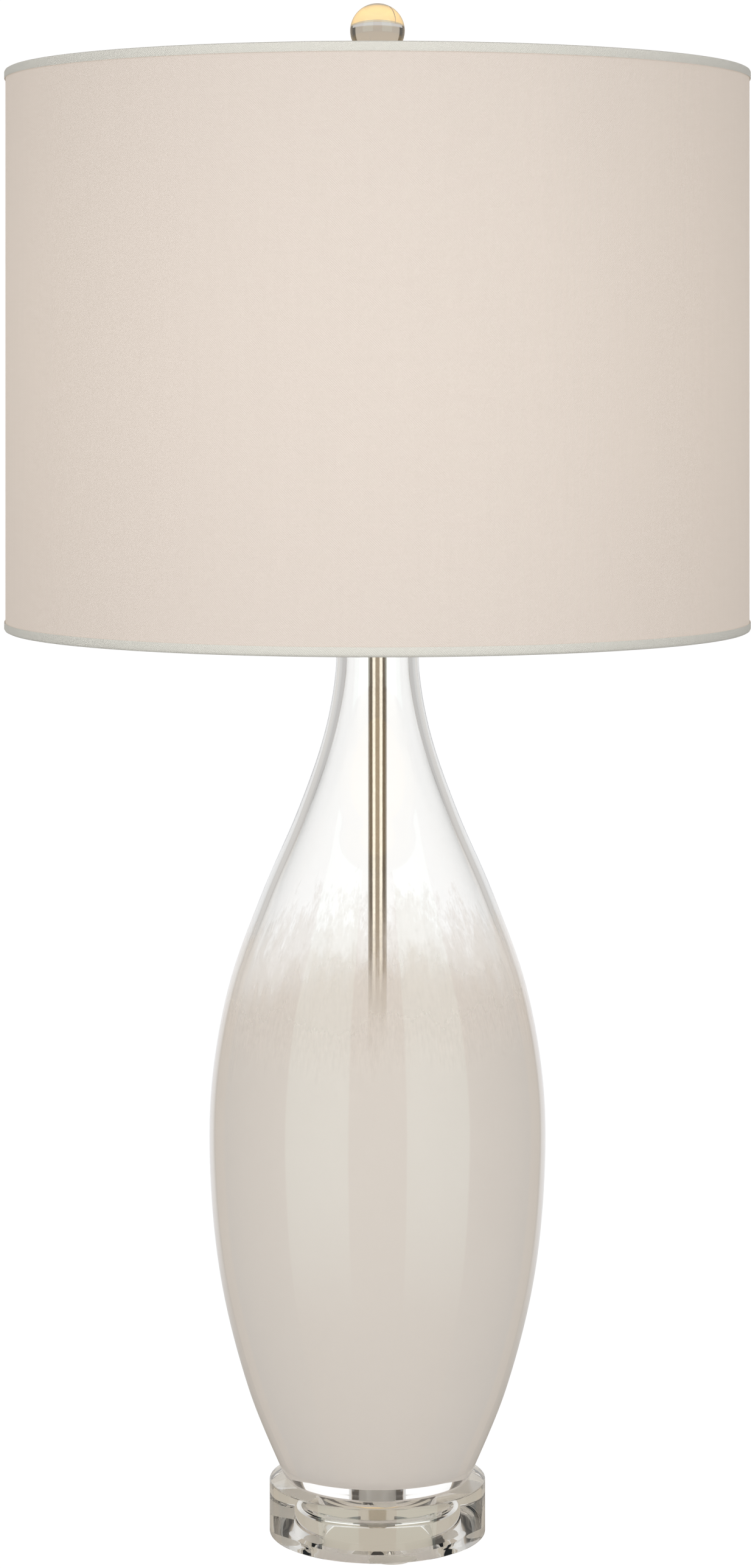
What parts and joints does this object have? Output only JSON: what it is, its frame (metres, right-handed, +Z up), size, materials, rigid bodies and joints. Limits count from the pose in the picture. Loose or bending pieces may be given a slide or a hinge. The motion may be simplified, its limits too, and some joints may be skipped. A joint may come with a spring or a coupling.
{
  "type": "table lamp with shade",
  "caption": "Table lamp: tall blown-glass vessel on a clear acrylic plinth, drum shade on a detachable harp, crystal ball finial and turn-knob socket with its bulb.",
  "frame": {"origin": "on the table, under the lamp's centre line, at the bottom of the bumper feet", "axes": "+Z up, +X to the right and -Y to the front, where the turn knob is; the cord inlet faces +Y"},
  "size_m": [0.4072, 0.4072, 0.838],
  "materials": {
    "clear_acrylic": "polished clear acrylic",
    "clear_glass": "clear blown glass, fire polished",
    "white_coat": "opaque white paint inside the glass, fading out in streaks",
    "crystal": "polished clear crystal",
    "polished_nickel": "polished nickel plate",
    "zinc_steel": "zinc plated steel",
    "brass": "plain brass",
    "aluminium": "spun aluminium",
    "black_phenolic": "moulded black phenolic",
    "vulcanised_fibre": "dark vulcanised fibre card",
    "white_nylon": "natural white nylon",
    "clear_rubber": "translucent soft bumper",
    "shade_cloth": "cream linen-look cloth, fine plain weave",
    "hem_tape": "rolled self-coloured hem tape",
    "styrene_liner": "translucent white styrene backing sheet",
    "frosted_glass": "frosted lamp glass, warm white when lit"
  },
  "bodies": {
    "base": {"bumper_foot_1": "clear_rubber", "bumper_foot_2": "clear_rubber", "bumper_foot_3": "clear_rubber", "bumper_foot_4": "clear_rubber", "acrylic_plinth": "clear_acrylic", "cord_inlet_bush": "white_nylon", "base_washer": "zinc_steel", "base_nut": "zinc_steel", "glass_vessel": "clear_glass", "lamp_pipe": "polished_nickel", "heel_bush": "white_nylon", "neck_gasket": "clear_rubber", "vase_cap": "polished_nickel", "neck_spacer": "polished_nickel", "harp_saddle": "polished_nickel", "saddle_nut": "zinc_steel", "socket_cap": "polished_nickel", "cap_set_screw": "zinc_steel", "socket_shell": "polished_nickel", "insulating_sleeve": "vulcanised_fibre", "switch_body": "black_phenolic", "terminal_screw_1": "brass", "terminal_screw_2": "brass", "screw_liner": "aluminium", "centre_contact": "brass"},
    "switch": {"knob_shaft": "brass", "switch_knob": "black_phenolic"},
    "bulb": {"bulb_contact": "brass", "bulb_insulator": "black_phenolic", "bulb_screw_cap": "aluminium", "bulb_envelope": "frosted_glass"},
    "harp": {"harp_wire": "polished_nickel"},
    "left_ferrule": {"ferrule_left": "polished_nickel"},
    "right_ferrule": {"ferrule_right": "polished_nickel"},
    "stud": {"harp_stud": "polished_nickel"},
    "shade": {"shade_cloth": "shade_cloth", "shade_liner": "styrene_liner", "top_hem": "hem_tape", "bottom_hem": "hem_tape", "top_ring": "zinc_steel", "bottom_ring": "zinc_steel", "spider_hub": "polished_nickel", "spider_arm_1": "polished_nickel", "spider_arm_2": "polished_nickel", "spider_arm_3": "polished_nickel"},
    "finial": {"finial_base": "polished_nickel", "finial_ball": "crystal"}
  },
  "joints": [
    {"name": "switch_turn", "type": "hinge", "parent": "base", "child": "switch", "pos_m": [0, -0.02, 0.5883], "axis": [0, -1, 0], "continuous": true},
    {"name": "bulb_lift", "type": "slide", "parent": "base", "child": "bulb", "axis": [0, 0, 1], "range_m": [0, 0.03]},
    {"name": "harp_lift", "type": "slide", "parent": "base", "child": "harp", "axis": [0, 0, 1], "range_m": [0, 0.025]},
    {"name": "left_ferrule_slide", "type": "slide", "parent": "harp", "child": "left_ferrule", "axis": [0, 0, 1], "range_m": [0, 0.015]},
    {"name": "right_ferrule_slide", "type": "slide", "parent": "harp", "child": "right_ferrule", "axis": [0, 0, 1], "range_m": [0, 0.015]},
    {"name": "shade_turn", "type": "hinge", "parent": "harp", "child": "stud", "pos_m": [0, 0, 0.79], "axis": [0, 0, 1], "continuous": true},
    {"name": "shade_lift", "type": "slide", "parent": "stud", "child": "shade", "axis": [0, 0, 1], "range_m": [0, 0.32]},
    {"name": "finial_lift", "type": "slide", "parent": "shade", "child": "finial", "axis": [0, 0, 1], "range_m": [0, 0.025]}
  ]
}
